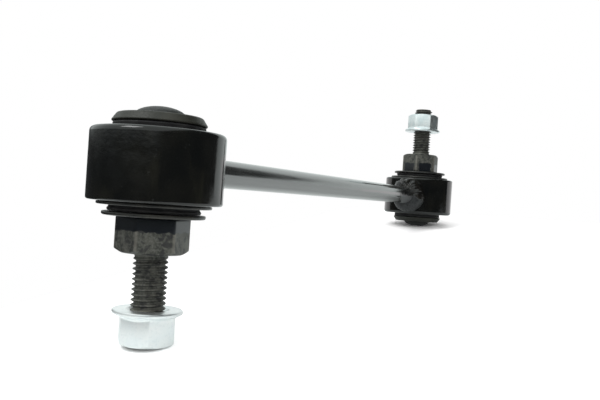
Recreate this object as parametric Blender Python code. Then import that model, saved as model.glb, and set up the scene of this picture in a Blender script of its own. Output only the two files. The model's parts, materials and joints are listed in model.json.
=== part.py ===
"""Vehicle stabilizer link: a rod with a rubber-bushed eye and a threaded stud at each end.

The frame is +X along the rod from eye A to eye B, +Z along the stud of eye B, and the origin
halfway along the rod. Stud A points the other way, so the link has the shape of a Z.
"""

import math

import bmesh
import bpy
from mathutils import Matrix, Vector

# Driving dimensions, in metres
CENTRE_DISTANCE = 0.300
ROD_RADIUS = 0.0055
GAP = 0.0003

EYE_OUTER_RADIUS = 0.023
EYE_BORE_RADIUS = 0.018
EYE_HALF_HEIGHT = 0.0122
EYE_CAP_EDGE_ROUND = 0.0017
EYE_STUD_EDGE_ROUND = 0.0009
EYE_BORE_CHAMFER = 0.0004

SLEEVE_WALL = 0.0013
SLEEVE_FLANGE_RADIUS = 0.01945
SLEEVE_FLANGE_THICKNESS = 0.0010

INNER_SLEEVE_WALL = 0.0022

RUBBER_WAIST = 0.0006
RUBBER_EDGE = 0.0004

THREAD_RADIUS = 0.006
THREAD_TIP_RADIUS = 0.0049
THREAD_TIP_CHAMFER = 0.0011
STUD_TIP = 0.0609

HEX_ACROSS_FLATS = 0.022
HEX_START = 0.0173
HEX_END = 0.0293

SEAT_WASHER_RADIUS = 0.0175
SEAT_WASHER_THICKNESS = 0.0013

END_WASHER_RADIUS = 0.0165
END_WASHER_THICKNESS = 0.0017
END_WASHER_RIM = 0.0144
END_WASHER_RIM_WALL = 0.0014
END_WASHER_FACE = 0.0175

TAIL_RADIUS = 0.0085
TAIL_HEIGHT = 0.0028

NUT_ACROSS_FLATS = 0.018
NUT_HEIGHT = 0.012
NUT_FLANGE_RADIUS = 0.012
NUT_FLANGE_EDGE = 0.0013
NUT_FLANGE_SLOPE_TOP = 0.0031
NUT_BORE_SINK = 0.0006
NUT_EDGE_BREAK = 0.0003
NUT_SEAT_A = 0.0483
NUT_SEAT_B = 0.0453

WELD_LEG_ALONG_ROD = 0.0080
WELD_LEG_UP_EYE = 0.0050
WELD_LOBE = 0.0009
WELD_BULGE = 0.85
WELD_STEPS = 36
WELD_FACE_STEPS = 6

# A hexagon's flat face as a share of its width, and the slope of its corners
HEX_FACE_SHARE = 0.95
HEX_CHAMFER_ANGLE = math.radians(30)

# How far each hexagon is turned about its stud, counted from a corner on +X
STUD_TURN_A = math.radians(-11.9)
STUD_TURN_B = math.radians(4.4)
NUT_TURN_A = math.radians(18.0)
NUT_TURN_B = math.radians(-13.6)

# Fineness of the round shapes
EYE_STEPS = 56
SLEEVE_STEPS = 40
HIDDEN_STEPS = 32
STUD_STEPS = 32
ROD_STEPS = 32


def clear_scene():
    """Remove what the scene holds, so that the model stands alone."""
    for item in list(bpy.data.objects):
        bpy.data.objects.remove(item, do_unlink=True)


# Materials


def make_material(name, colour, roughness, metallic):
    """A Principled BSDF with one colour."""
    material = bpy.data.materials.new(name)
    material.use_nodes = True
    shader = material.node_tree.nodes["Principled BSDF"]
    shader.inputs["Base Color"].default_value = (*colour, 1.0)
    shader.inputs["Roughness"].default_value = roughness
    shader.inputs["Metallic"].default_value = metallic
    material.diffuse_color = (*colour, 1.0)
    return material


def black_paint():
    return make_material("gloss_black_paint", (0.012, 0.013, 0.015), 0.18, 0.0)


def phosphate_steel():
    return make_material("phosphate_steel", (0.075, 0.070, 0.060), 0.55, 0.6)


def dark_steel():
    return make_material("dark_pressed_steel", (0.030, 0.031, 0.033), 0.42, 0.5)


def zinc_plate():
    return make_material("zinc_plate", (0.72, 0.75, 0.80), 0.28, 1.0)


def black_rubber():
    return make_material("black_rubber", (0.014, 0.014, 0.015), 0.75, 0.0)


# Mesh helpers


def finish_object(name, shape, material, smooth_angle=math.radians(28)):
    """Turn a bmesh into an object with its material and smooth round walls."""
    bmesh.ops.recalc_face_normals(shape, faces=shape.faces)
    mesh = bpy.data.meshes.new(name)
    shape.to_mesh(mesh)
    shape.free()
    mesh.shade_smooth()
    mesh.set_sharp_from_angle(angle=smooth_angle)
    item = bpy.data.objects.new(name, mesh)
    bpy.context.scene.collection.objects.link(item)
    if material is not None:
        mesh.materials.append(material)
    return item


def arc(centre, radius, start, end, steps):
    """Points of (radius from axis, height) along an arc, angles in degrees."""
    points = []
    for step in range(steps + 1):
        angle = math.radians(start + (end - start) * step / steps)
        points.append((centre[0] + radius * math.cos(angle), centre[1] + radius * math.sin(angle)))
    return points


def turned_ring(outline, steps):
    """Spin a closed outline of (radius, height) about Z into a ring."""
    shape = bmesh.new()
    corners = [shape.verts.new((radius, 0.0, height)) for radius, height in outline]
    edges = [shape.edges.new((corners[i - 1], corners[i])) for i in range(len(corners))]
    spin_about_z(shape, corners + edges, steps)
    return shape


def turned_solid(outline, steps):
    """Spin an outline of (radius, height), which starts and ends on Z, into a solid."""
    shape = bmesh.new()
    corners = [shape.verts.new((radius, 0.0, height)) for radius, height in outline]
    edges = [shape.edges.new((corners[i], corners[i + 1])) for i in range(len(corners) - 1)]
    spin_about_z(shape, corners + edges, steps)
    bmesh.ops.remove_doubles(shape, verts=shape.verts, dist=1e-6)
    return shape


def spin_about_z(shape, geometry, steps):
    """One full turn about Z, closed on itself."""
    bmesh.ops.spin(
        shape,
        geom=geometry,
        cent=(0.0, 0.0, 0.0),
        axis=(0.0, 0.0, 1.0),
        angle=math.tau,
        steps=steps,
        use_merge=True,
    )


def hexagon_prism(across_flats, low, high, turn):
    """A hexagonal prism along Z with a corner turned from +X."""
    shape = bmesh.new()
    corner_radius = across_flats / math.sqrt(3.0)
    bmesh.ops.create_circle(shape, cap_ends=True, segments=6, radius=corner_radius)
    # A circle starts with its first corner on +Y
    to_place = Matrix.Translation((0.0, 0.0, low)) @ Matrix.Rotation(turn - math.pi / 2, 4, "Z")
    bmesh.ops.transform(shape, matrix=to_place, verts=shape.verts)
    side = bmesh.ops.extrude_face_region(shape, geom=list(shape.faces))
    raised = [item for item in side["geom"] if isinstance(item, bmesh.types.BMVert)]
    bmesh.ops.translate(shape, vec=(0.0, 0.0, high - low), verts=raised)
    return shape


def guide(name, shape):
    """A helper solid for Boolean modifiers, left out of the model."""
    item = finish_object(name, shape, None)
    item.hide_render = True
    item.display_type = "WIRE"
    return item


def add_boolean(item, operation, other):
    """Combine an object with a guide, with the exact solver."""
    modifier = item.modifiers.new(other.name, "BOOLEAN")
    modifier.operation = operation
    modifier.solver = "EXACT"
    modifier.object = other


# Arm: rod, eyes and welds


def eye_clearance(name):
    """The space that an eye takes from the rod and the weld, a gap wider than the eye."""
    radius = EYE_OUTER_RADIUS + GAP
    height = 2 * EYE_HALF_HEIGHT
    outline = [(0.0, -height), (radius, -height), (radius, height), (0.0, height)]
    return guide(name, turned_solid(outline, EYE_STEPS))


def make_rod(material, clearances):
    """The straight bar, its ends hollowed to sit against the eyes."""
    shape = bmesh.new()
    along_x = Matrix.Rotation(math.pi / 2, 4, "Y")
    bmesh.ops.create_cone(
        shape,
        cap_ends=True,
        segments=ROD_STEPS,
        radius1=ROD_RADIUS,
        radius2=ROD_RADIUS,
        depth=CENTRE_DISTANCE - 2 * EYE_BORE_RADIUS,
        matrix=along_x,
    )
    rod = finish_object("link_rod", shape, material)
    for clearance in clearances:
        add_boolean(rod, "DIFFERENCE", clearance)
    return rod


def make_eye(name, material):
    """A short thick tube, its outer edge rounder on the side away from the stud."""
    cap_round = EYE_CAP_EDGE_ROUND
    stud_round = EYE_STUD_EDGE_ROUND
    cap_centre = (EYE_OUTER_RADIUS - cap_round, -EYE_HALF_HEIGHT + cap_round)
    stud_centre = (EYE_OUTER_RADIUS - stud_round, EYE_HALF_HEIGHT - stud_round)
    outline = [
        (EYE_BORE_RADIUS, -EYE_HALF_HEIGHT + EYE_BORE_CHAMFER),
        (EYE_BORE_RADIUS + EYE_BORE_CHAMFER, -EYE_HALF_HEIGHT),
        *arc(cap_centre, cap_round, -90, 0, 3),
        *arc(stud_centre, stud_round, 0, 90, 2),
        (EYE_BORE_RADIUS + EYE_BORE_CHAMFER, EYE_HALF_HEIGHT),
        (EYE_BORE_RADIUS, EYE_HALF_HEIGHT - EYE_BORE_CHAMFER),
    ]
    return finish_object(name, turned_ring(outline, EYE_STEPS), material)


def weld_outline():
    """Section of the weld as (radius from the rod's axis, distance from the eye's axis)."""
    inner = ROD_RADIUS + GAP
    foot = EYE_OUTER_RADIUS
    outline = [(inner, foot + WELD_LEG_ALONG_ROD)]
    # The face bulges like a superellipse between the toe on the rod and the toe on the eye
    for step in range(1, WELD_FACE_STEPS):
        angle = math.radians(90 * step / WELD_FACE_STEPS)
        up = WELD_LEG_UP_EYE * math.sin(angle) ** WELD_BULGE
        along = WELD_LEG_ALONG_ROD * math.cos(angle) ** WELD_BULGE
        outline.append((inner + up, foot + along))
    crest = inner + WELD_LEG_UP_EYE
    return [*outline, (crest, foot), (crest, EYE_BORE_RADIUS), (inner, EYE_BORE_RADIUS)]


def make_weld(name, clearance, side, material):
    """A fillet weld laid in two passes, so it is fuller above and below the rod."""
    shape = bmesh.new()
    rings = []
    for step in range(WELD_STEPS):
        angle = math.tau * step / WELD_STEPS
        fullness = WELD_LOBE * (abs(math.sin(angle)) - 0.5)
        ring = []
        for radius, distance in weld_outline():
            reach = radius + (fullness if radius > ROD_RADIUS + GAP else 0.0)
            place = (-side * distance, reach * math.cos(angle), reach * math.sin(angle))
            ring.append(shape.verts.new(place))
        rings.append(ring)
    count = len(rings[0])
    for step in range(WELD_STEPS):
        here, there = rings[step - 1], rings[step]
        for i in range(count):
            shape.faces.new((here[i - 1], here[i], there[i], there[i - 1]))
    weld = finish_object(name, shape, material)
    add_boolean(weld, "DIFFERENCE", clearance)
    return weld


# Bush: outer sleeve, two rubber halves and inner sleeve


def make_outer_sleeve(name, material):
    """Thin tube in the eye's bore, with a flange that stands on the eye's stud side."""
    outer = EYE_BORE_RADIUS - GAP
    inner = outer - SLEEVE_WALL
    seat = EYE_HALF_HEIGHT + GAP
    top = seat + SLEEVE_FLANGE_THICKNESS
    round_size = 0.4 * SLEEVE_FLANGE_THICKNESS
    outline = [
        (inner, -EYE_HALF_HEIGHT + GAP),
        (outer, -EYE_HALF_HEIGHT + GAP),
        (outer, seat),
        (SLEEVE_FLANGE_RADIUS - round_size, seat),
        (SLEEVE_FLANGE_RADIUS, seat + round_size),
        (SLEEVE_FLANGE_RADIUS, top - round_size),
        (SLEEVE_FLANGE_RADIUS - round_size, top),
        (inner + SLEEVE_WALL, top),
        (inner, top - SLEEVE_WALL / 2),
    ]
    return finish_object(name, turned_ring(outline, EYE_STEPS), material)


def rubber_radii():
    """Inner and outer radius of the rubber, a gap away from both sleeves."""
    inner = THREAD_RADIUS + GAP + INNER_SLEEVE_WALL + GAP
    outer = EYE_BORE_RADIUS - GAP - SLEEVE_WALL - GAP
    return inner, outer


def make_rubber_stud_side(name, material):
    """Half of the rubber, from the eye's middle to the seat washer, waisted at its neck."""
    inner, outer = rubber_radii()
    low = GAP / 2
    waist = EYE_HALF_HEIGHT + SLEEVE_FLANGE_THICKNESS + 3 * GAP
    high = HEX_START - GAP - SEAT_WASHER_THICKNESS - GAP
    outline = [
        (inner, low),
        (outer, low),
        (outer, EYE_HALF_HEIGHT),
        (outer - RUBBER_WAIST, waist),
        (outer - RUBBER_WAIST / 3, high - RUBBER_EDGE),
        (outer - RUBBER_WAIST, high),
        (inner, high),
    ]
    return finish_object(name, turned_ring(outline, SLEEVE_STEPS), material)


def make_rubber_cap_side(name, material):
    """The other half, which ends in a boss inside the end washer's dish."""
    inner, outer = rubber_radii()
    low = -(END_WASHER_FACE - END_WASHER_THICKNESS - GAP)
    boss = END_WASHER_RADIUS - END_WASHER_RIM_WALL - 2 * GAP
    outline = [
        (inner, -GAP / 2),
        (inner, low),
        (boss - RUBBER_EDGE, low),
        (boss, low + RUBBER_EDGE),
        (boss, -(END_WASHER_RIM - GAP)),
        (outer - GAP, -(END_WASHER_RIM - 2 * GAP)),
        (outer, -(EYE_HALF_HEIGHT - GAP)),
        (outer, -GAP / 2),
    ]
    return finish_object(name, turned_ring(outline, SLEEVE_STEPS), material)


def make_inner_sleeve(name, material):
    """Distance tube round the stud, clamped between the two washers."""
    inner = THREAD_RADIUS + GAP
    outer = inner + INNER_SLEEVE_WALL
    low = -(END_WASHER_FACE - END_WASHER_THICKNESS - GAP)
    high = HEX_START - GAP - SEAT_WASHER_THICKNESS - GAP
    outline = [(inner, low), (outer, low), (outer, high), (inner, high)]
    return finish_object(name, turned_ring(outline, HIDDEN_STEPS), material)


# Stud, its washers and its nut


def make_seat_washer(name, material):
    """Thin disc between the stud's hexagon and the rubber, with a rounded rim."""
    high = HEX_START - GAP
    low = high - SEAT_WASHER_THICKNESS
    half = SEAT_WASHER_THICKNESS / 2
    bore = THREAD_RADIUS + GAP
    rim = arc((SEAT_WASHER_RADIUS - half, low + half), half, -90, 90, 4)
    outline = [(bore, low), *rim, (bore, high)]
    return finish_object(name, turned_ring(outline, SLEEVE_STEPS), material)


def make_end_washer(name, material):
    """Dished washer: its rim turns down over the rubber, its outer edge is round."""
    bore = THREAD_RADIUS + GAP
    bend = END_WASHER_THICKNESS
    shoulder = arc((END_WASHER_RADIUS - bend, -(END_WASHER_FACE - bend)), bend, 0, -90, 4)
    dish = -(END_WASHER_FACE - END_WASHER_THICKNESS)
    rim_inside = END_WASHER_RADIUS - END_WASHER_RIM_WALL
    outline = [
        (bore, dish),
        (rim_inside, dish),
        (rim_inside, -END_WASHER_RIM),
        (END_WASHER_RADIUS - GAP, -END_WASHER_RIM),
        *shoulder,
        (bore, -END_WASHER_FACE),
    ]
    return finish_object(name, turned_ring(outline, SLEEVE_STEPS), material)


def hexagon_chamfer(name, across_flats, low, high):
    """The turned body that takes a hexagon's upper corners off at 30 degrees."""
    face_radius = HEX_FACE_SHARE * across_flats / 2
    far_radius = 1.2 * across_flats / 2
    drop = (far_radius - face_radius) * math.tan(HEX_CHAMFER_ANGLE)
    outline = [(0.0, low), (far_radius, low), (far_radius, high - drop), (face_radius, high), (0.0, high)]
    return guide(name, turned_solid(outline, STUD_STEPS))


def stud_core_outline():
    """The round parts of the stud, from its domed tail to its chamfered tip."""
    tail_face = END_WASHER_FACE + GAP
    base_chord = TAIL_RADIUS
    ball = (base_chord**2 + TAIL_HEIGHT**2) / (2 * TAIL_HEIGHT)
    half_angle = math.degrees(math.asin(base_chord / ball))
    centre = (0.0, -(tail_face + TAIL_HEIGHT - ball))
    dome = arc(centre, ball, -90, -90 + half_angle, 5)
    dome[0] = (0.0, dome[0][1])
    return [
        *dome,
        (THREAD_RADIUS, -tail_face),
        (THREAD_RADIUS, STUD_TIP - THREAD_TIP_CHAMFER),
        (THREAD_TIP_RADIUS, STUD_TIP),
        (0.0, STUD_TIP),
    ]


def make_stud(name, turn, material):
    """Forged stud: a chamfered hexagon on a round shank."""
    hexagon = hexagon_prism(HEX_ACROSS_FLATS, HEX_START, HEX_END, turn)
    stud = finish_object(name, hexagon, material)
    chamfer = hexagon_chamfer(name + "_chamfer", HEX_ACROSS_FLATS, HEX_START, HEX_END)
    core = guide(name + "_core", turned_solid(stud_core_outline(), STUD_STEPS))
    add_boolean(stud, "INTERSECT", chamfer)
    add_boolean(stud, "UNION", core)
    return stud, [chamfer, core]


def make_nut(name, seat, turn, material):
    """Flange nut: a chamfered hexagon that grows out of a sloped flange, with a bore."""
    top = seat + NUT_HEIGHT
    hexagon = hexagon_prism(NUT_ACROSS_FLATS, seat + NUT_FLANGE_EDGE, top, turn)
    nut = finish_object(name, hexagon, material)
    chamfer = hexagon_chamfer(name + "_chamfer", NUT_ACROSS_FLATS, seat, top)
    flange_outline = [
        (0.0, seat),
        (NUT_FLANGE_RADIUS - NUT_EDGE_BREAK, seat),
        (NUT_FLANGE_RADIUS, seat + NUT_EDGE_BREAK),
        (NUT_FLANGE_RADIUS, seat + NUT_FLANGE_EDGE),
        (0.45 * NUT_ACROSS_FLATS, seat + NUT_FLANGE_SLOPE_TOP),
        (0.0, seat + NUT_FLANGE_SLOPE_TOP),
    ]
    flange = guide(name + "_flange", turned_solid(flange_outline, STUD_STEPS))
    bore_radius = THREAD_RADIUS + GAP
    mouth = bore_radius + 2 * NUT_BORE_SINK
    bore_outline = [
        (0.0, seat - NUT_BORE_SINK),
        (mouth, seat - NUT_BORE_SINK),
        (bore_radius, seat + NUT_BORE_SINK),
        (bore_radius, top - NUT_BORE_SINK),
        (mouth, top + NUT_BORE_SINK),
        (0.0, top + NUT_BORE_SINK),
    ]
    bore = guide(name + "_bore", turned_solid(bore_outline, STUD_STEPS))
    add_boolean(nut, "INTERSECT", chamfer)
    add_boolean(nut, "UNION", flange)
    add_boolean(nut, "DIFFERENCE", bore)
    return nut, [chamfer, flange, bore]


# Assembly


def place_end(items, side):
    """Put one end's pieces at its eye; at eye A they are turned over."""
    turn = 0.0 if side > 0 else math.pi
    for item in items:
        item.location = Vector((side * CENTRE_DISTANCE / 2, 0.0, 0.0))
        item.rotation_euler = (turn, 0.0, 0.0)


def build_end(letter, side, stud_turn, nut_seat, nut_turn, materials):
    """All pieces of one end, each with its origin at the eye's centre."""
    clearance = eye_clearance("eye_clearance_" + letter)
    stud, stud_guides = make_stud("stud_" + letter, stud_turn, materials["phosphate"])
    nut, nut_guides = make_nut("flange_nut_" + letter, nut_seat, nut_turn, materials["zinc"])
    items = [
        clearance,
        make_eye("eye_ring_" + letter, materials["paint"]),
        make_weld("weld_bead_" + letter, clearance, side, materials["paint"]),
        make_outer_sleeve("outer_sleeve_" + letter, materials["dark"]),
        make_rubber_stud_side("bush_stud_side_" + letter, materials["rubber"]),
        make_rubber_cap_side("bush_cap_side_" + letter, materials["rubber"]),
        make_inner_sleeve("inner_sleeve_" + letter, materials["dark"]),
        make_seat_washer("seat_washer_" + letter, materials["dark"]),
        make_end_washer("end_washer_" + letter, materials["dark"]),
        stud,
        nut,
        *stud_guides,
        *nut_guides,
    ]
    place_end(items, side)
    return clearance


def build_link():
    """The whole link: both ends and the rod between them."""
    clear_scene()
    materials = {
        "paint": black_paint(),
        "phosphate": phosphate_steel(),
        "dark": dark_steel(),
        "zinc": zinc_plate(),
        "rubber": black_rubber(),
    }
    clearances = [
        build_end("a", -1, STUD_TURN_A, NUT_SEAT_A, NUT_TURN_A, materials),
        build_end("b", 1, STUD_TURN_B, NUT_SEAT_B, NUT_TURN_B, materials),
    ]
    make_rod(materials["paint"], clearances)
    bpy.context.view_layer.update()


build_link()
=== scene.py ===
"""Looks of the stabilizer link: detailed pieces, finishes, studio and camera."""

import json
import math

import bmesh
import bpy
from mathutils import Euler, Matrix, Vector, noise


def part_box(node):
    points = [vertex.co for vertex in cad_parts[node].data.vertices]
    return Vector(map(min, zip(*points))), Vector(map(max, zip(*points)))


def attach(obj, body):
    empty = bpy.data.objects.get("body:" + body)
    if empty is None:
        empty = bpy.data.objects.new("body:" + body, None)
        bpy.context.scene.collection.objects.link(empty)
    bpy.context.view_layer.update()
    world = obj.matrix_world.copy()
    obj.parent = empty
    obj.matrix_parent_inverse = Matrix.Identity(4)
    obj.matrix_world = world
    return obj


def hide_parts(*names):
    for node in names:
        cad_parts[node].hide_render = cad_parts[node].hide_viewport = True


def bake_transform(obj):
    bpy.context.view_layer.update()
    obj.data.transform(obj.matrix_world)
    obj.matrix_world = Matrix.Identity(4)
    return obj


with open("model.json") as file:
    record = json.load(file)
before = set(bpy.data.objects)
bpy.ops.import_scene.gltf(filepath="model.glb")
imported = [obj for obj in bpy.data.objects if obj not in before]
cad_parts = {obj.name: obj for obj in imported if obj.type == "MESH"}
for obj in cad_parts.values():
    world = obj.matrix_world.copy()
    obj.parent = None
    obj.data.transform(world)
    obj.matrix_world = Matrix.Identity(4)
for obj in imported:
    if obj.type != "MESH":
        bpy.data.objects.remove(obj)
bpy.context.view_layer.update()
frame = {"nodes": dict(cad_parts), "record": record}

MM = 0.001
GAP = 0.3 * MM

# Each end: letter, turns of the hexagon and the nut in degrees, the level up to which the
# hexagon's flats are painted, and how far that paint reaches from the stud's axis
ENDS = (
    ("a", -11.9, 18.0, 21.8 * MM, 12.8 * MM),
    ("b", 4.4, -13.6, 23.0 * MM, 11.4 * MM),
)

# Thread of the studs: M12 x 1.75
THREAD_CREST = 6.0 * MM
THREAD_PITCH = 1.75 * MM
THREAD_DEPTH = 1.05 * MM
THREAD_CREST_SHARE = 0.16
THREAD_ROOT_SHARE = 0.22
THREAD_ROWS = 8
THREAD_FADE = 1.6 * MM
THREAD_SHRINK = 0.02 * MM

# Stud
HEX_FLATS_STUD = 22 * MM
HEX_CORNER_ROUND = 0.6 * MM
HEX_EDGE = 0.35 * MM
HEX_FACE_SHARE = 0.95
HEX_CHAMFER = math.tan(math.radians(30))
HEX_FLAT_STEPS = 11
HEX_CORNER_STEPS = 4
NECK_FILLET = 0.8 * MM
NECK_RADIUS = 5.7 * MM
NECK_STEPS = 5
TIP_CHAMFER = 1.1 * MM
DOME_RADIUS = 8.5 * MM
DOME_STEPS = 12
DOME_HEIGHT_POWER = 1.15
DOME_RADIUS_POWER = 1.05

# Nut
HEX_FLATS_NUT = 18 * MM
NUT_CORNER_ROUND = 0.5 * MM
FLANGE_EDGE = 1.3 * MM
FLANGE_SLOPE = 0.46
NUT_BORE = 6.3 * MM
NUT_MOUTH = 1.0 * MM
NUT_THREAD_CREST = 6.15 * MM
NUT_THREAD_DEPTH = 0.6 * MM

# Eye and bush
EYE_BORE = 18 * MM
SLEEVE_BORE = 16.4 * MM
RUBBER_BORE = 8.8 * MM
RUBBER_RADIUS = 16.1 * MM
WASHER_BORE = 6.3 * MM
LIP_THICKNESS = 1.0 * MM
DISH_THICKNESS = 1.7 * MM
END_WASHER_WALL = 1.4 * MM
END_WASHER_LEAN = 2.1 * MM

# Weld between rod and eye: its legs, the turn of its two beads and how full they are
WELD_ALONG = 8.6 * MM
WELD_UP = 6.6 * MM
WELD_HALF_HEIGHT = 11.1 * MM
WELD_TURN = 0.27
WELD_BULGE = 0.8
WELD_SINK = 0.25 * MM
WELD_NOISE_REACH = 9 * MM

# Matt paint on the rod next to weld B, measured from the eye's centre
EYE_X = 150 * MM
SCALE_REACH = 39 * MM
SCALE_TONGUE = 3.27

# Fineness
ROUND_STEPS = 144
FILLET_STEPS = 5
ROD_STEPS = 96
ROD_LENGTHS = 40
WELD_AROUND = 256
WELD_ACROSS = 26
SHEET_STEPS = 32
SUPPORT = 0.15 * MM
SUPPORT_SHARE = 0.25
MERGE = 1e-7
SMOOTH_ANGLE = math.radians(32)


# Mesh helpers


def ring_of(radius, height, angles):
    """One row of points round Z."""
    return [(radius * math.cos(a), radius * math.sin(a), height) for a in angles]


def even_angles(count):
    return [math.tau * i / count for i in range(count)]


def skin(shape, rows, shift=0):
    """Faces between rows that run round an axis. A row of one point is a pole.

    With a shift, the last column meets the first one that many rows later, as a thread does.
    """
    made = [[shape.verts.new(point) for point in row] for row in rows]
    columns = max(len(row) for row in rows)
    for i in range(columns):
        seam = shift if i == columns - 1 else 0
        for j in range(len(made) - 1 - seam):
            ring = [(j, i), (j + seam, i + 1), (j + 1 + seam, i + 1), (j + 1, i)]
            corners = []
            for row, column in ring:
                corner = made[row][column % len(made[row])]
                if corner not in corners:
                    corners.append(corner)
            if len(corners) > 2:
                shape.faces.new(corners)


def rounded(corners):
    """A closed outline of (radius, height, fillet) corners, with its fillets as arcs."""
    outline = []
    for i, (radius, height, fillet) in enumerate(corners):
        here = Vector((radius, height))
        if not fillet:
            outline.append((radius, height))
            continue
        before = (Vector(corners[i - 1][:2]) - here).normalized()
        after = (Vector(corners[(i + 1) % len(corners)][:2]) - here).normalized()
        half = before.angle(after) / 2
        centre = here + (before + after).normalized() * (fillet / math.sin(half))
        start = here + before * (fillet / math.tan(half)) - centre
        end = here + after * (fillet / math.tan(half)) - centre
        sweep = math.pi - 2 * half
        for step in range(FILLET_STEPS + 1):
            share = step / FILLET_STEPS
            mixed = math.sin((1 - share) * sweep) * start + math.sin(share * sweep) * end
            outline.append(tuple(centre + mixed / math.sin(sweep)))
    return outline


def supported(outline):
    """The outline with two more points on each long side, which keep its shading flat."""
    result = []
    for here, there in zip(outline, [*outline[1:], outline[0]]):
        start, end = Vector(here), Vector(there)
        result.append(here)
        share = SUPPORT / max((end - start).length, SUPPORT)
        if share < SUPPORT_SHARE:
            result += [tuple(start.lerp(end, share)), tuple(start.lerp(end, 1 - share))]
    return result


def turned(outline):
    """Spin a closed outline of (radius, height) about Z."""
    shape = bmesh.new()
    angles = even_angles(ROUND_STEPS)
    rows = [ring_of(radius, height, angles) for radius, height in supported(outline)]
    skin(shape, [*rows, rows[0]])
    return shape


def make_piece(name, shape, material, place=None):
    """A smooth closed mesh object, placed in the row frame."""
    bmesh.ops.remove_doubles(shape, verts=shape.verts, dist=MERGE)
    bmesh.ops.recalc_face_normals(shape, faces=shape.faces)
    mesh = bpy.data.meshes.new(name)
    shape.to_mesh(mesh)
    shape.free()
    mesh.shade_smooth()
    mesh.set_sharp_from_angle(angle=SMOOTH_ANGLE)
    mesh.materials.append(material)
    item = bpy.data.objects.new(name, mesh)
    bpy.context.scene.collection.objects.link(item)
    if place is not None:
        item.matrix_world = place
    return item


def dress(item, body, slot, *nodes):
    """The piece moves with a body and stands for CAD nodes; the slot is not used."""
    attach(item, body)
    if nodes:
        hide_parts(*nodes)


def hexagon_columns(across_flats, corner_round, turn):
    """Angle and radius of points round a hexagon with rounded corners."""
    corner_reach = across_flats / math.sqrt(3)
    arc_centre = corner_reach - corner_round / math.sin(math.radians(60))
    columns = []
    for side in range(6):
        middle = turn + side * math.tau / 6
        arc = []
        for step in range(HEX_CORNER_STEPS + 1):
            angle = math.radians(-30 + 60 * step / HEX_CORNER_STEPS)
            x = arc_centre + corner_round * math.cos(angle)
            arc.append(Vector((x, corner_round * math.sin(angle))))
        start = arc[-1]
        end = Matrix.Rotation(math.tau / 6, 2) @ arc[0]
        flat = [start.lerp(end, step / HEX_FLAT_STEPS) for step in range(1, HEX_FLAT_STEPS)]
        for point in arc + flat:
            columns.append((middle + math.atan2(point.y, point.x), point.length))
    return columns


# One end of the link


class End:
    """One end in its own frame: the eye's centre at the origin, +Z along the stud."""

    def __init__(self, letter, stud_turn, nut_turn, paint_level, paint_reach):
        self.letter = letter
        self.stud_turn = math.radians(stud_turn)
        self.nut_turn = math.radians(nut_turn)
        self.paint_level = paint_level
        self.paint_reach = paint_reach
        low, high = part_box("eye_ring_" + letter)
        self.centre = (low + high) / 2
        stud_low, stud_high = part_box("stud_" + letter)
        self.up = 1 if stud_high.z > -stud_low.z else -1
        turn = Matrix.Rotation(0.0 if self.up > 0 else math.pi, 4, "X")
        self.place = Matrix.Translation(self.centre) @ turn
        seats = {m["name"]: m["pos_m"] for m in frame["record"]["mounts"]}
        self.seat_level = seats["clamp_seat_" + letter][2]

    def span(self, node):
        """Lowest and highest level of a CAD node along the stud."""
        low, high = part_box(f"{node}_{self.letter}")
        if self.up > 0:
            return low.z, high.z
        return -high.z, -low.z

    def radius(self, node):
        """Half of a CAD node's width."""
        low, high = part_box(f"{node}_{self.letter}")
        return (high.y - low.y) / 2

    def name(self, piece):
        """A piece's, node's or body's name at this end."""
        return f"{piece}_{self.letter}"


def make_eye(end, material):
    """Thick tube: a small round on the stud's side, a wider one on the other."""
    low, high = end.span("eye_ring")
    outer = end.radius("eye_ring")
    outline = rounded([
        (EYE_BORE, low, 0.5 * MM),
        (outer, low, 1.7 * MM),
        (outer, high, 0.9 * MM),
        (EYE_BORE, high, 0.4 * MM),
    ])
    item = make_piece(end.name("painted_eye"), turned(outline), material, end.place)
    dress(item, "link_arm", "gloss_black_paint", end.name("eye_ring"))


def make_lip(end, material):
    """Outer sleeve with its flange, the thin lip on the stud's side of the eye."""
    low, high = end.span("outer_sleeve")
    flange = end.radius("outer_sleeve")
    wall = EYE_BORE - GAP
    seat = high - LIP_THICKNESS
    outline = rounded([
        (SLEEVE_BORE, low, 0.2 * MM),
        (wall, low, 0.2 * MM),
        (wall, seat, 0),
        (flange, seat, 0.3 * MM),
        (flange, high, 0.45 * MM),
        (SLEEVE_BORE, high, 0.7 * MM),
    ])
    item = make_piece(end.name("sleeve_lip"), turned(outline), material, end.place)
    dress(item, "link_arm", "dark_pressed_steel", end.name("outer_sleeve"))


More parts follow.
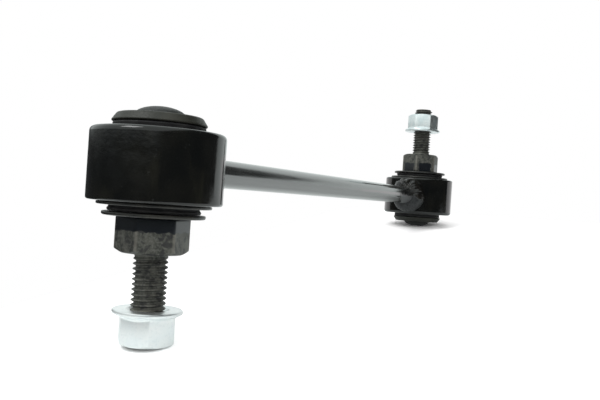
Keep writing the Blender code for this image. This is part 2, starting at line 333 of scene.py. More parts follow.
def make_rubber(end, material):
    """Both halves of the bush."""
    lip = end.span("outer_sleeve")[1]
    low, high = end.span("bush_stud_side")
    stud_side = rounded([
        (RUBBER_BORE, low, 0),
        (RUBBER_RADIUS, low, 0),
        (RUBBER_RADIUS, 0.5 * lip, 0.4 * MM),
        (15.2 * MM, lip - 1.6 * MM, 0.8 * MM),
        (15.3 * MM, lip + 0.5 * MM, 0.8 * MM),
        (15.9 * MM, high - 0.6 * MM, 0.4 * MM),
        (15.6 * MM, high, 0.15 * MM),
        (RUBBER_BORE, high, 0),
    ])
    bottom, top = end.span("bush_cap_side")
    rim = end.span("end_washer")[1]
    boss = end.radius("end_washer") - END_WASHER_WALL - 0.6 * MM
    cap_side = rounded([
        (RUBBER_BORE, top, 0),
        (RUBBER_BORE, bottom, 0),
        (boss, bottom, 0.3 * MM),
        (boss, rim - 0.3 * MM, 0.2 * MM),
        (15.8 * MM, rim + 0.5 * MM, 0.4 * MM),
        (15.4 * MM, rim + 1.7 * MM, 0.8 * MM),
        (RUBBER_RADIUS, 0.5 * rim, 0.4 * MM),
        (RUBBER_RADIUS, top, 0),
    ])
    halves = (("bush_stud_side", stud_side, low, high), ("bush_cap_side", cap_side, top, bottom))
    for node, outline, root, face in halves:
        item = make_piece(end.name("rubber" + node[4:]), turned(outline), material, end.place)
        end.name("bush")
        end.name("core")
        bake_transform(item)
        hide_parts(end.name(node))


def make_seat_washer(end, material):
    """Disc under the hexagon, with a rolled rim."""
    low, high = end.span("seat_washer")
    rim = end.radius("seat_washer")
    outline = rounded([
        (WASHER_BORE, low, 0),
        (rim, low, 0.45 * MM),
        (rim, high, 0.65 * MM),
        (WASHER_BORE, high, 0),
    ])
    item = make_piece(end.name("seat_disc"), turned(outline), material, end.place)
    dress(item, end.name("stud"), "dark_pressed_steel", end.name("seat_washer"))


def make_end_washer(end, material):
    """Dished washer whose rim turns in over the rubber."""
    face, rim = end.span("end_washer")
    outer = end.radius("end_washer")
    dish = face + DISH_THICKNESS
    outline = rounded([
        (WASHER_BORE, dish, 0),
        (outer - END_WASHER_WALL, dish, 0.3 * MM),
        (outer - END_WASHER_WALL, rim, 0.3 * MM),
        (outer, rim, 0.4 * MM),
        (outer - END_WASHER_LEAN, face, 1.3 * MM),
        (WASHER_BORE, face, 0),
    ])
    item = make_piece(end.name("dished_disc"), turned(outline), material, end.place)
    dress(item, end.name("stud"), "dark_pressed_steel", end.name("end_washer"))


def thread_rows(columns, start, stop, radius_at):
    """Rows that climb one pitch per turn between two levels, for skin with a shift."""
    turns = (stop - start) / THREAD_PITCH + 2
    rows = []
    for j in range(math.ceil(turns) * THREAD_ROWS + 1):
        row = []
        for i, (angle, _) in enumerate(columns):
            climb = (angle - columns[0][0]) / math.tau
            level = start + THREAD_PITCH * (j / THREAD_ROWS - 1 + climb)
            level = min(max(level, start), stop)
            radius = radius_at(j % THREAD_ROWS / THREAD_ROWS, level)
            row.append((radius * math.cos(angle), radius * math.sin(angle), level))
        rows.append(row)
    return rows


def thread_profile(share):
    """Depth of a thread, 0 at the crest and 1 at the root, over one pitch."""
    from_crest = abs((share + 0.5) % 1.0 - 0.5)
    flank = 0.5 - THREAD_CREST_SHARE / 2 - THREAD_ROOT_SHARE / 2
    return min(max((from_crest - THREAD_CREST_SHARE / 2) / flank, 0.0), 1.0)


def make_stud(end, material):
    """Forged stud in one skin: domed tail, shank, hexagon, neck, rolled thread and tip."""
    tail, tip = end.span("stud")
    hex_low = end.span("seat_washer")[1] + GAP
    hex_high = abs(end.seat_level)
    crest = THREAD_CREST - THREAD_SHRINK
    columns = hexagon_columns(HEX_FLATS_STUD, HEX_CORNER_ROUND, end.stud_turn)
    angles = [angle for angle, _ in columns]
    tail_face = end.span("end_washer")[0] - GAP

    def circle(radius, level):
        return ring_of(radius, level, angles)

    def hexagon(inset, level):
        return [((r - inset) * math.cos(a), (r - inset) * math.sin(a), level) for a, r in columns]

    def chamfer(share, lift=0.0):
        """Between the wall, at share 0, and the flat face, at share 1."""
        face = HEX_FACE_SHARE * HEX_FLATS_STUD / 2
        row = []
        for a, r in columns:
            drop = (r - face) * HEX_CHAMFER
            at = r + (face - r) * share
            row.append((at * math.cos(a), at * math.sin(a), hex_high - drop * (1 - share) - lift))
        return row

    rows = [[(0.0, 0.0, tail)]]
    dome_height = tail_face - tail
    for step in range(1, DOME_STEPS + 1):
        angle = math.radians(90 * step / DOME_STEPS)
        level = tail + dome_height * (1 - math.cos(angle) ** DOME_HEIGHT_POWER)
        rows.append(circle(DOME_RADIUS * math.sin(angle) ** DOME_RADIUS_POWER, level))
    rows.append(circle(crest, tail_face))
    rows.append(circle(crest, hex_low))
    rows += [hexagon(HEX_EDGE, hex_low), hexagon(HEX_EDGE / 3, hex_low + HEX_EDGE / 3)]
    rows += [hexagon(0.0, hex_low + HEX_EDGE), hexagon(0.0, hex_low + 2 * HEX_EDGE)]
    rows += [chamfer(0.0, 0.3 * MM), chamfer(0.06, 0.03 * MM), chamfer(0.5), chamfer(0.94)]
    rows += [circle(HEX_FACE_SHARE * HEX_FLATS_STUD / 2 - 0.25 * MM, hex_high)]
    for step in range(NECK_STEPS + 1):
        angle = math.radians(90 * step / NECK_STEPS)
        radius = NECK_RADIUS + NECK_FILLET * (1 - math.sin(angle))
        rows.append(circle(radius, hex_high + NECK_FILLET * (1 - math.cos(angle))))
    neck_top = hex_high + NECK_FILLET

    def stud_radius(share, level):
        if level <= neck_top:
            return NECK_RADIUS
        full = crest - THREAD_DEPTH * thread_profile(share)
        faded = min((level - neck_top) / THREAD_FADE, 1.0)
        radius = NECK_RADIUS + (full - NECK_RADIUS) * faded
        return min(radius, crest - TIP_CHAMFER + (tip - level))

    shape = bmesh.new()
    skin(shape, rows)
    skin(shape, thread_rows(columns, neck_top, tip, stud_radius), shift=THREAD_ROWS)
    skin(shape, [circle(crest - TIP_CHAMFER, tip), [(0.0, 0.0, tip)]])
    item = make_piece(end.name("threaded_stud"), shape, material, end.place)
    dress(item, end.name("stud"), "phosphate_steel", end.name("stud"))


def make_nut(end, material):
    """Flange nut in one skin: flange, hexagon, chamfered top and threaded bore."""
    seat, top = end.span("flange_nut")
    flange = end.radius("flange_nut")
    columns = hexagon_columns(HEX_FLATS_NUT, NUT_CORNER_ROUND, end.nut_turn)
    angles = [angle for angle, _ in columns]
    face = HEX_FACE_SHARE * HEX_FLATS_NUT / 2

    def circle(radius, level):
        return ring_of(radius, level, angles)

    def around(radius_of, level_of):
        row = []
        for a, r in columns:
            row.append((radius_of(r) * math.cos(a), radius_of(r) * math.sin(a), level_of(r)))
        return row

    def on_flange(radius):
        return seat + FLANGE_EDGE + (flange - radius) * FLANGE_SLOPE

    def on_chamfer(radius):
        return top - max(radius - face, 0.0) * HEX_CHAMFER

    mouth = NUT_BORE + NUT_MOUTH
    bore_low, bore_high = seat + NUT_MOUTH, top - NUT_MOUTH
    rows = [
        circle(NUT_BORE, bore_low),
        circle(mouth, seat),
        circle(flange - 0.5 * MM, seat),
        circle(flange - 0.12 * MM, seat + 0.15 * MM),
        circle(flange, seat + 0.5 * MM),
        circle(flange, seat + FLANGE_EDGE - 0.35 * MM),
        circle(flange - 0.12 * MM, seat + FLANGE_EDGE),
        around(lambda r: r + 0.9 * MM, lambda r: on_flange(r + 0.9 * MM)),
        around(lambda r: r + 0.3 * MM, lambda r: on_flange(r + 0.4 * MM)),
        around(lambda r: r, lambda r: on_flange(r) + 0.4 * MM),
        around(lambda r: r, lambda r: on_flange(r) + 0.6 * MM),
        around(lambda r: r, lambda r: on_chamfer(r) - 0.3 * MM),
        around(lambda r: r - 0.08 * MM, lambda r: on_chamfer(r) - 0.03 * MM),
        around(lambda r: (r + face) / 2, lambda r: on_chamfer((r + face) / 2)),
        circle(face, top - 0.02 * MM),
        circle(face - 0.25 * MM, top),
        circle(mouth, top),
        circle(NUT_BORE, bore_high),
    ]

    def bore_radius(share, level):
        if level <= bore_low or level >= bore_high:
            return NUT_BORE
        return NUT_THREAD_CREST + NUT_THREAD_DEPTH * thread_profile(share)

    shape = bmesh.new()
    skin(shape, rows)
    bore = thread_rows(columns, bore_low, bore_high, bore_radius)
    skin(shape, bore, shift=THREAD_ROWS)
    item = make_piece(end.name("zinc_nut"), shape, material, end.place)
    dress(item, end.name("nut"), "zinc_plate", end.name("flange_nut"))


# Rod and welds


def make_rod(ends, material):
    """Straight bar whose ends are hollowed to the eyes."""
    low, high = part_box("link_rod")
    radius = (high.y - low.y) / 2
    eye = ends[0].radius("eye_ring")

    def end_x(side, y):
        return side * (ends[1].centre.x - math.sqrt((eye + GAP) ** 2 - y**2))

    rows = [[(end_x(-1, 0.0), 0.0, 0.0)]]
    for k in range(ROD_LENGTHS + 1):
        row = []
        for angle in even_angles(ROD_STEPS):
            y = radius * math.cos(angle)
            share = k / ROD_LENGTHS
            x = end_x(-1, y) * (1 - share) + end_x(1, y) * share
            row.append((x, y, radius * math.sin(angle)))
        rows.append(row)
    rows.append([(end_x(1, 0.0), 0.0, 0.0)])
    shape = bmesh.new()
    skin(shape, rows)
    item = make_piece("painted_bar", shape, material)
    dress(item, "link_arm", "gloss_black_paint", "link_rod")


def weld_fullness(angle, share, spot):
    """How full the weld is round the rod: a lumpy bead and a finely drawn one, with a notch
    between them."""
    lean = math.sin(angle + WELD_TURN)
    above, below = max(lean, 0.0), max(-lean, 0.0)
    full = 0.66 + 0.28 * max(above, below) ** 0.35
    crescent = angle + 0.5 * (share - 0.45) ** 2
    lumps = 0.05 + 0.13 * noise.noise(spot * 190) + 0.09 * noise.noise(spot * 430)
    lumps += 0.045 * math.sin(15 * crescent + 1.3)
    drawn = math.sin(34 * angle + 3 * noise.noise(spot * 200))
    ripples = 0.012 * drawn + 0.09 * noise.noise(spot * 230) + 0.03 * noise.noise(spot * 600)
    return full + lumps * above**0.4 + ripples * below**0.4


def make_weld(end, material):
    """Fillet of two convex beads between rod and eye, its toes sunk into both."""
    low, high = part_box("link_rod")
    rod = (high.y - low.y) / 2
    eye = end.radius("eye_ring")
    side = 1 if end.centre.x > 0 else -1
    rows = [[] for _ in range(WELD_ACROSS + 2)]
    for angle in even_angles(WELD_AROUND):
        for j in range(WELD_ACROSS + 1):
            share = j / WELD_ACROSS
            slope = math.radians(90 * share)
            way = (share, math.cos(angle), math.sin(angle))
            spot = Vector([part * WELD_NOISE_REACH for part in way])
            full = weld_fullness(angle, share, spot)
            up = WELD_UP * full * math.sin(slope) ** WELD_BULGE
            along = WELD_ALONG * full * math.cos(slope) ** WELD_BULGE
            reach = rod - WELD_SINK + up
            y = reach * math.cos(angle)
            z = min(max(reach * math.sin(angle), -WELD_HALF_HEIGHT), WELD_HALF_HEIGHT)
            surface = math.sqrt(max((eye - WELD_SINK) ** 2 - y**2, 0.0))
            rows[j].append((-side * (surface + along), y, z))
        reach = rod - 2 * WELD_SINK
        y, z = reach * math.cos(angle), reach * math.sin(angle)
        rows[-1].append((-side * math.sqrt((eye - 2 * WELD_SINK) ** 2 - y**2), y, z))
    shape = bmesh.new()
    skin(shape, [*rows, rows[0]])
    item = make_piece(end.name("weld"), shape, material, end.place)
    dress(item, "link_arm", "gloss_black_paint", end.name("weld_bead"))


# Materials


def add_node(tree, kind, inputs=None, **settings):
    """A shader node with its settings; each input is a value or another node's output."""
    item = tree.nodes.new("ShaderNode" + kind)
    for key, value in settings.items():
        setattr(item, key, value)
    for key, value in (inputs or {}).items():
        if isinstance(value, bpy.types.NodeSocket):
            tree.links.new(value, item.inputs[key])
        else:
            item.inputs[key].default_value = value
    return item


def new_material(name):
    """A material, its tree, its main shader and the object's own coordinates."""
    material = bpy.data.materials.new(name)
    material.use_nodes = True
    tree = material.node_tree
    place = add_node(tree, "TexCoord").outputs["Object"]
    return material, tree, tree.nodes["Principled BSDF"], place


def noise_of(tree, place, scale, detail=3.0, distortion=0.0):
    inputs = {"Vector": place, "Scale": scale, "Detail": detail, "Distortion": distortion}
    return add_node(tree, "TexNoise", inputs).outputs["Fac"]


def between(tree, factor, low, high, start=0.3, stop=0.7):
    """Map a factor smoothly onto a range."""
    inputs = {"Value": factor, "From Min": start, "From Max": stop, "To Min": low, "To Max": high}
    return add_node(tree, "MapRange", inputs, interpolation_type="SMOOTHSTEP").outputs["Result"]


def mix_colours(tree, factor, first, second):
    """First colour at factor 0, second at 1."""
    item = add_node(tree, "Mix", data_type="RGBA")
    for index, value in ((0, factor), (6, first), (7, second)):
        if isinstance(value, bpy.types.NodeSocket):
            tree.links.new(value, item.inputs[index])
        elif index:
            item.inputs[index].default_value = (*value, 1.0)
        else:
            item.inputs[index].default_value = value
    return item.outputs[2]


def mix_values(tree, factor, first, second):
    """First value at factor 0, second at 1."""
    item = add_node(tree, "Mix", data_type="FLOAT")
    for index, value in ((0, factor), (2, first), (3, second)):
        if isinstance(value, bpy.types.NodeSocket):
            tree.links.new(value, item.inputs[index])
        else:
            item.inputs[index].default_value = value
    return item.outputs[0]


def maths(tree, operation, first, second=0.0):
    item = add_node(tree, "Math", {0: first, 1: second}, operation=operation)
    return item.outputs[0]


def scaled_and_shifted(tree, value, scale, shift):
    inputs = {0: value, 1: scale, 2: shift}
    return add_node(tree, "Math", inputs, operation="MULTIPLY_ADD").outputs[0]


def stretched(tree, place, scale):
    """Coordinates scaled on each axis, so that a noise is drawn out where the scale is small."""
    return add_node(tree, "Mapping", {"Vector": place, "Scale": scale}).outputs["Vector"]


def bump_of(tree, height, distance, below=None):
    inputs = {"Height": height, "Distance": distance, "Strength": 1.0}
    if below is not None:
        inputs["Normal"] = below
    return add_node(tree, "Bump", inputs).outputs["Normal"]


def connect(tree, shader, **sockets):
    for key, value in sockets.items():
        name = key.replace("_", " ").title()
        if isinstance(value, bpy.types.NodeSocket):
            tree.links.new(value, shader.inputs[name])
        else:
            shader.inputs[name].default_value = value


def gloss_paint():
    """Black dip paint: deep gloss, faint orange peel, a little dust."""
    material, tree, shader, place = new_material("gloss_black_paint")
    cloud = noise_of(tree, place, 70, 4.0)
    deep, paler = (0.0025, 0.003, 0.003), (0.006, 0.006, 0.005)
    colour = mix_colours(tree, between(tree, cloud, 0, 1), deep, paler)
    upright = stretched(tree, place, (1.0, 1.0, 0.3))
    smear = between(tree, noise_of(tree, upright, 130, 4.0, 0.5), 0.0, 1.0, 0.54, 0.72)
    colour = mix_colours(tree, smear, colour, (0.008, 0.008, 0.006))
    dust = between(tree, noise_of(tree, place, 620, 5.0), 0, 1, 0.66, 0.76)
    colour = mix_colours(tree, maths(tree, "MULTIPLY", dust, 0.4), colour, (0.04, 0.043, 0.04))
    rough = between(tree, noise_of(tree, place, 160, 3.0), 0.07, 0.15)
    peel = bump_of(tree, noise_of(tree, place, 420, 2.0), 0.02 * MM)
    normal = bump_of(tree, noise_of(tree, place, 2600, 2.0), 0.003 * MM, peel)
    connect(tree, shader, base_color=colour, roughness=rough, normal=normal)
    return material


def bar_paint():
    """The rod's paint, drawn along the bar, and matt on the underside next to weld B."""
    material, tree, shader, place = new_material("gloss_black_bar")
    drawn = stretched(tree, place, (0.06, 1.0, 1.0))
    streaks = noise_of(tree, drawn, 900, 4.0)
    cloud = noise_of(tree, place, 90, 4.0)
    dark, pale = (0.010, 0.011, 0.011), (0.020, 0.021, 0.020)
    colour = mix_colours(tree, between(tree, cloud, 0, 1), dark, pale)
    rough = between(tree, streaks, 0.08, 0.17)
    axes = add_node(tree, "SeparateXYZ", {"Vector": place})
    ragged = scaled_and_shifted(tree, noise_of(tree, place, 260, 4.0), 14 * MM, -7 * MM)
    tongue = maths(tree, "MULTIPLY", maths(tree, "ABSOLUTE", axes.outputs["Y"]), SCALE_TONGUE)
    reach = maths(tree, "ADD", maths(tree, "ADD", axes.outputs["X"], tongue), ragged)
    start = EYE_X - SCALE_REACH
    near_weld = between(tree, reach, 0.0, 1.0, start, start + 5 * MM)
    side = maths(tree, "ADD", axes.outputs["Z"], maths(tree, "MULTIPLY", ragged, 0.2))
    scale = maths(tree, "MULTIPLY", near_weld, between(tree, side, 1.0, 0.0, -1.6 * MM, 0.6 * MM))
    colour = mix_colours(tree, scale, colour, (0.016, 0.018, 0.020))
    rough = mix_values(tree, scale, rough, 0.55)
    rows = bump_of(tree, streaks, 0.01 * MM)
    flakes = maths(tree, "MULTIPLY", noise_of(tree, drawn, 2400, 4.0), scale)
    normal = bump_of(tree, flakes, 0.06 * MM, rows)
    shader.inputs["IOR"].default_value = 2.2
    shader.inputs["Coat Weight"].default_value = 0.45
    shader.inputs["Coat Roughness"].default_value = 0.12
    connect(tree, shader, base_color=colour, roughness=rough, normal=normal)
    return material


def weld_paint():
    """The same paint over the weld: glossy on the stud's side bead, matt grey on the other."""
    material, tree, shader, place = new_material("weld_paint")
    axes = add_node(tree, "SeparateXYZ", {"Vector": place}).outputs
    wobble = maths(tree, "MULTIPLY", noise_of(tree, place, 300, 3.0), 2 * MM)
    outward = maths(tree, "SUBTRACT", maths(tree, "ABSOLUTE", axes["Y"]), 5.5 * MM)
    sloped = maths(tree, "MULTIPLY", maths(tree, "MAXIMUM", outward, 0.0), 0.7)
    lifted = maths(tree, "ADD", maths(tree, "ADD", axes["Z"], sloped), wobble)
    gloss = between(tree, lifted, 0, 1, 0.8 * MM, 2.2 * MM)
    cloud = between(tree, noise_of(tree, place, 350, 4.0), 0, 1)
    matt = mix_colours(tree, cloud, (0.008, 0.0095, 0.011), (0.020, 0.022, 0.023))
    dark = mix_colours(tree, cloud, (0.003, 0.003, 0.003), (0.010, 0.009, 0.007))
    colour = mix_colours(tree, gloss, matt, dark)
    rough = mix_values(tree, gloss, 0.50, 0.10)
    drawn = stretched(tree, place, (0.12, 1.0, 1.0))
    lines = bump_of(tree, noise_of(tree, drawn, 1500, 4.0), 0.05 * MM)
    spatter = maths(tree, "MULTIPLY", noise_of(tree, place, 520, 3.0, 0.5), gloss)
    spatter = bump_of(tree, spatter, 0.35 * MM, lines)
    normal = bump_of(tree, noise_of(tree, place, 1300, 3.0), 0.03 * MM, spatter)
    connect(tree, shader, base_color=colour, roughness=rough, normal=normal)
    return material


def phosphate(name, paint_level, paint_reach):
    """Olive phosphate on forged steel, black paint on the hexagon's flats and on the tail."""
    material, tree, shader, place = new_material(name)
    height = add_node(tree, "SeparateXYZ", {"Vector": place}).outputs["Z"]
    flat = add_node(tree, "VectorMath", {0: place, 1: (1.0, 1.0, 0.0)}, operation="MULTIPLY")
    length = add_node(tree, "VectorMath", {0: flat.outputs["Vector"]}, operation="LENGTH")
    radius = length.outputs["Value"]
    grain = noise_of(tree, place, 1400, 6.0)
    cloud = noise_of(tree, place, 240, 4.0)
    dark, pale = (0.038, 0.040, 0.034), (0.098, 0.098, 0.084)
    bare = mix_colours(tree, between(tree, cloud, 0, 1), dark, pale)
    specks = between(tree, grain, 0, 0.55, 0.4, 0.7)
    bare = mix_colours(tree, specks, bare, (0.165, 0.168, 0.150))
    patches = between(tree, noise_of(tree, place, 420, 5.0, 0.6), 0.0, 0.75, 0.52, 0.62)
    bare = mix_colours(tree, patches, bare, (0.022, 0.022, 0.024))
    # Painted highlight: the hexagon's rounded corners, 12.2 to 12.6 mm from the axis, are painted
    # paler where they would catch the light
    paler = between(tree, radius, 0.0, 0.5, 12.2 * MM, 12.6 * MM)
    bare = mix_colours(tree, paler, bare, (0.19, 0.18, 0.155))
    wobble = noise_of(tree, place, 330, 3.0)
    edge = scaled_and_shifted(tree, wobble, 3.0 * MM, paint_level - 1.5 * MM)
    low = between(tree, maths(tree, "SUBTRACT", height, edge), 1, 0, -0.25 * MM, 0.15 * MM)
    frayed = scaled_and_shifted(tree, wobble, 0.8 * MM, paint_reach)
    inside = between(tree, maths(tree, "SUBTRACT", radius, frayed), 1, 0, -0.12 * MM, 0.12 * MM)
    on_hexagon = maths(tree, "GREATER_THAN", height, 0.0)
    paint = maths(tree, "MULTIPLY", maths(tree, "MULTIPLY", low, inside), on_hexagon)
    tail = maths(tree, "LESS_THAN", height, 0.0)
    painted = mix_colours(tree, tail, (0.003, 0.0045, 0.007), (0.011, 0.012, 0.011))
    colour = mix_colours(tree, maths(tree, "MAXIMUM", paint, tail), bare, painted)
    rough = mix_values(tree, paint, between(tree, grain, 0.42, 0.60), 0.30)
    metal = mix_values(tree, maths(tree, "MAXIMUM", paint, tail), 0.45, 0.0)
    height_map = mix_values(tree, paint, grain, 0.6)
    normal = bump_of(tree, height_map, 0.05 * MM)
    connect(tree, shader, base_color=colour, roughness=rough, metallic=metal, normal=normal)
    return material


def zinc(name, low, high, mark):
    """Bright zinc between two bluish tones, with small darker marks of the given strength."""
    material, tree, shader, place = new_material(name)
    bloom = noise_of(tree, place, 190, 4.0)
    speck = noise_of(tree, place, 1100, 5.0, 0.4)
    colour = mix_colours(tree, between(tree, bloom, 0, 1), low, high)
    marks = between(tree, speck, 0, mark, 0.50, 0.70)
    colour = mix_colours(tree, marks, colour, (0.42, 0.49, 0.54))
    rough = between(tree, speck, 0.32, 0.46)
    normal = bump_of(tree, noise_of(tree, place, 700, 4.0), 0.012 * MM)
    connect(tree, shader, base_color=colour, roughness=rough, metallic=1.0, normal=normal)
    return material


def pressed_steel(name, low, high, rough_range):
    """Dark coated steel of the lip, the washers and the inner sleeves."""
    material, tree, shader, place = new_material(name)
    cloud = between(tree, noise_of(tree, place, 160, 4.0), 0, 1)
    colour = mix_colours(tree, cloud, low, high)
    grain = noise_of(tree, place, 1500, 4.0)
    rough = between(tree, grain, *rough_range)
    normal = bump_of(tree, grain, 0.012 * MM)
    connect(tree, shader, base_color=colour, roughness=rough, metallic=0.2, normal=normal)
    return material


def rubber():
    """Matt black rubber with a fine grain."""
    material, tree, shader, place = new_material("black_rubber")
    cloud = between(tree, noise_of(tree, place, 220, 4.0), 0, 1)
    colour = mix_colours(tree, cloud, (0.009, 0.009, 0.010), (0.021, 0.021, 0.021))
    grain = noise_of(tree, place, 2400, 3.0)
    rough = between(tree, grain, 0.55, 0.78)
    normal = bump_of(tree, grain, 0.02 * MM)
    connect(tree, shader, base_color=colour, roughness=rough, normal=normal)
    return material


# Studio and camera


# Directions that bound what reflections see as bright: the backdrop's two edges and the side
# of the soft light; the colours are those of the dark and the bright part
BACKDROP_RIGHT = Vector((0.439, 0.741, -0.508))
BACKDROP_LEFT = Vector((0.766, -0.643, 0.0))
LIGHT_SIDE = Vector((-0.602, 0.502, 0.622))
DARK_COLOUR = (0.047, 0.050, 0.050)
STUDIO_COLOUR = (0.93, 1.0, 0.985)

# Floor: the two points that the link stands on, its colour for the camera, and its corners
FLOOR_AT_A = Vector((-0.150, 0.0, -0.0609))
FLOOR_AT_B = Vector((0.150, 0.0, -0.0206))
FLOOR_LEVEL = 1.35
FLOOR_BOX = ((-0.42, -0.08), (0.07, 0.30))
FLOOR_CORNER = 30 * MM

# Card behind eye B: its edges and the bend's in degrees, then its radius and its lower and
# upper level, each from the near edge to the far end of the bend
CARD_EDGES = (-66, 92)
CARD_BEND = (-66, -10)
CARD_RADII = (0.06, 0.20)
CARD_HEIGHTS = ((-0.020, 0.018), (-0.04, 0.03))
CARD_STEPS = 42

# Lamps: name, place, what it points at, size, power in watts, seen in reflections
LAMPS = (
    ("key_softbox", (-0.75, 0.30, 0.85), (0.0, 0.0, 0.0), 0.45, 4.0, True),
    ("front_fill", (-0.40, -0.40, 0.20), (0.15, 0.0, -0.02), 0.30, 1.5, False),
)

# Camera, solved from the photograph
CAMERA_LENS = 44.19
CAMERA_PLACE = (-0.35304, -0.15425, -0.00770)
CAMERA_TURN = (89.950, -3.879, -63.883)


def toward(tree, direction, axis):
    """How far a direction leans to an axis, 1 along it."""
    product = add_node(tree, "VectorMath", {0: direction, 1: axis}, operation="DOT_PRODUCT")
    return product.outputs["Value"]


def make_world():
    """White to the camera; in reflections a backdrop ahead and a high soft light on the left."""
    world = bpy.data.worlds.new("studio")
    bpy.context.scene.world = world
    world.use_nodes = True
    tree = world.node_tree
    direction = add_node(tree, "TexCoord").outputs["Generated"]
    right_edge = between(tree, toward(tree, direction, BACKDROP_RIGHT), 0.0, 1.0, -0.02, 0.03)
    left_edge = between(tree, toward(tree, direction, BACKDROP_LEFT), 0.0, 1.0, -0.02, 0.03)
    backdrop = maths(tree, "MULTIPLY", right_edge, left_edge)
    light_side = toward(tree, direction, LIGHT_SIDE)
    height = add_node(tree, "SeparateXYZ", {"Vector": direction}).outputs["Z"]
    lifted = between(tree, height, 0.0, 1.0, 0.05, 0.12)
    softbox = maths(tree, "MULTIPLY", between(tree, light_side, 0.0, 1.0, 0.12, 0.40), lifted)
    bright = maths(tree, "MAXIMUM", backdrop, softbox)
    studio = mix_colours(tree, bright, DARK_COLOUR, STUDIO_COLOUR)
    ambient = between(tree, light_side, 0.40, 0.95, -0.5, 0.7)
    path = add_node(tree, "LightPath").outputs
    glossy = maths(tree, "MAXIMUM", path["Is Glossy Ray"], path["Is Transmission Ray"])
    colour = mix_colours(tree, glossy, ambient, studio)
    colour = mix_colours(tree, path["Is Camera Ray"], colour, (1.0, 1.0, 1.0))
    background = tree.nodes["Background"]
    tree.links.new(colour, background.inputs["Color"])
    background.inputs["Strength"].default_value = 1.0


def floor_place():
    """The floor's own frame: through stud A's tip and end B's dome, which stand on it."""
    along = (FLOOR_AT_B - FLOOR_AT_A).normalized()
    up = along.cross(Vector((0, 1, 0))) * -1
    turn = Matrix((along, up.cross(along), up)).transposed().to_4x4()
    return Matrix.Translation(FLOOR_AT_B) @ turn


def rounded_sheet(box, corner):
    """A flat sheet with round corners."""
    (low_x, low_y), (high_x, high_y) = box
    shape = bmesh.new()
    outline = []
    for k in range(SHEET_STEPS):
        angle = math.tau * (k + 0.5) / SHEET_STEPS
        x = (high_x if math.cos(angle) > 0 else low_x) - math.copysign(corner, math.cos(angle))
        y = (high_y if math.sin(angle) > 0 else low_y) - math.copysign(corner, math.sin(angle))
        place = (x + corner * math.cos(angle), y + corner * math.sin(angle), 0.0)
        outline.append(shape.verts.new(place))
    shape.faces.new(outline)
    return shape


def make_floor():
    """White sheet under the link: to the camera it is brighter than white, but keeps its shadow."""
    material = bpy.data.materials.new("white_sheet")
    material.use_nodes = True
    tree = material.node_tree
    shader = tree.nodes["Principled BSDF"]
    shader.inputs["Roughness"].default_value = 0.9
    shader.inputs["Specular IOR Level"].default_value = 0.0
    shader.inputs["Emission Color"].default_value = (1, 1, 1, 1)
    path = add_node(tree, "LightPath").outputs
    plain, mirrored = (0.32, 0.32, 0.32), (0.75, 0.80, 0.79)
    colour = mix_colours(tree, path["Is Glossy Ray"], plain, mirrored)
    colour = mix_colours(tree, path["Is Camera Ray"], colour, (FLOOR_LEVEL,) * 3)
    tree.links.new(colour, shader.inputs["Base Color"])
    glow = maths(tree, "MULTIPLY", path["Is Glossy Ray"], 0.03)
    tree.links.new(glow, shader.inputs["Emission Strength"])
    shape = rounded_sheet(FLOOR_BOX, FLOOR_CORNER)
    floor = make_piece("floor_sheet", shape, material, floor_place())


def make_card():
    """White card bent round the back of eye B, which only reflections see."""
    material = bpy.data.materials.new("white_card")
    material.use_nodes = True
    tree = material.node_tree
    tree.nodes.remove(tree.nodes["Principled BSDF"])
    glow = add_node(tree, "Emission", {"Color": (1, 1, 1, 1), "Strength": 1.0})
    tree.links.new(glow.outputs["Emission"], tree.nodes["Material Output"].inputs["Surface"])
    shape = bmesh.new()
    posts = []
    first, last = CARD_EDGES
    for step in range(CARD_STEPS + 1):
        angle = first + (last - first) * step / CARD_STEPS
        share = min((angle - CARD_BEND[0]) / (CARD_BEND[1] - CARD_BEND[0]), 1.0)
        radius = CARD_RADII[0] + (CARD_RADII[1] - CARD_RADII[0]) * share
        x, y = radius * math.cos(math.radians(angle)), radius * math.sin(math.radians(angle))
        levels = [near + (far - near) * share for near, far in zip(*CARD_HEIGHTS)]
        posts.append([shape.verts.new((x, y, level)) for level in levels])
    for here, there in zip(posts, posts[1:]):
        shape.faces.new((here[0], there[0], there[1], here[1]))
    card = make_piece("reflection_card", shape, material, Matrix.Translation((0.150, 0.0, 0.0)))
    card.visible_camera = False
    card.visible_diffuse = False
    card.visible_shadow = False


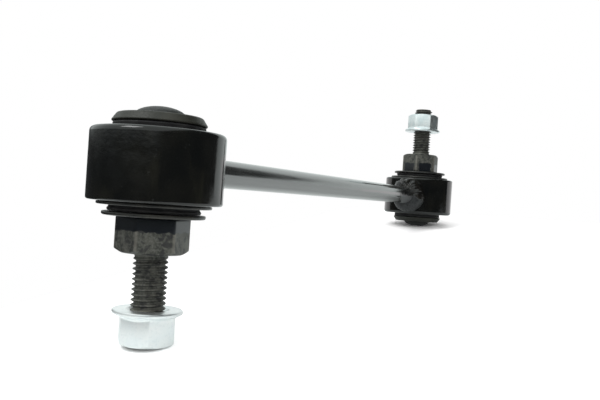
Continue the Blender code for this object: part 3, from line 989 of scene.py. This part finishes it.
def make_lamp(name, place, target, size, power, glossy):
    lamp = bpy.data.lights.new(name, "AREA")
    lamp.shape = "SQUARE"
    lamp.size = size
    lamp.energy = power
    item = bpy.data.objects.new(name, lamp)
    bpy.context.scene.collection.objects.link(item)
    item.location = place
    item.rotation_euler = (Vector(target) - Vector(place)).to_track_quat("-Z", "Y").to_euler()
    item.visible_glossy = glossy


def make_camera():
    """At the photograph's place, just behind the near eye and looking along the rod."""
    data = bpy.data.cameras.new("photo_camera")
    data.sensor_width = 36.0
    data.lens = CAMERA_LENS
    data.clip_start = 0.01
    camera = bpy.data.objects.new("photo_camera", data)
    bpy.context.scene.collection.objects.link(camera)
    camera.location = CAMERA_PLACE
    camera.rotation_euler = Euler(math.radians(x) for x in CAMERA_TURN)
    bpy.context.scene.camera = camera


def build_scene():
    """Every piece at both ends, the rod, the studio and the camera."""
    ends = [End(*values) for values in ENDS]
    paint, soft, welded = gloss_paint(), rubber(), weld_paint()
    steel = pressed_steel(
        "dark_pressed_steel", (0.012, 0.013, 0.013), (0.032, 0.031, 0.026), (0.26, 0.40)
    )
    olive = pressed_steel(
        "olive_pressed_steel", (0.014, 0.015, 0.011), (0.027, 0.027, 0.021), (0.42, 0.58)
    )
    # Painted light and shade: nut A's zinc is painted paler and nut B's darker, after how each nut
    # is lit; nut B's marks are also stronger
    bright = {
        "a": zinc("zinc_plate_a_painted_light", (0.90, 0.93, 0.94), (0.95, 0.96, 0.96), 0.10),
        "b": zinc("zinc_plate_b_painted_shade", (0.72, 0.80, 0.81), (0.86, 0.90, 0.90), 0.40),
    }
    for end in ends:
        make_eye(end, paint)
        make_lip(end, steel)
        make_rubber(end, soft)
        make_seat_washer(end, steel)
        make_end_washer(end, olive)
        finish = phosphate("phosphate_steel_" + end.letter, end.paint_level, end.paint_reach)
        make_stud(end, finish)
        make_nut(end, bright[end.letter])
        make_weld(end, welded)
        frame["nodes"][end.name("inner_sleeve")].data.materials[0] = steel
    make_rod(ends, bar_paint())
    make_world()
    make_floor()
    make_card()
    for lamp in LAMPS:
        make_lamp(*lamp)
    make_camera()
    bpy.context.scene.view_settings.view_transform = "Standard"


build_scene()
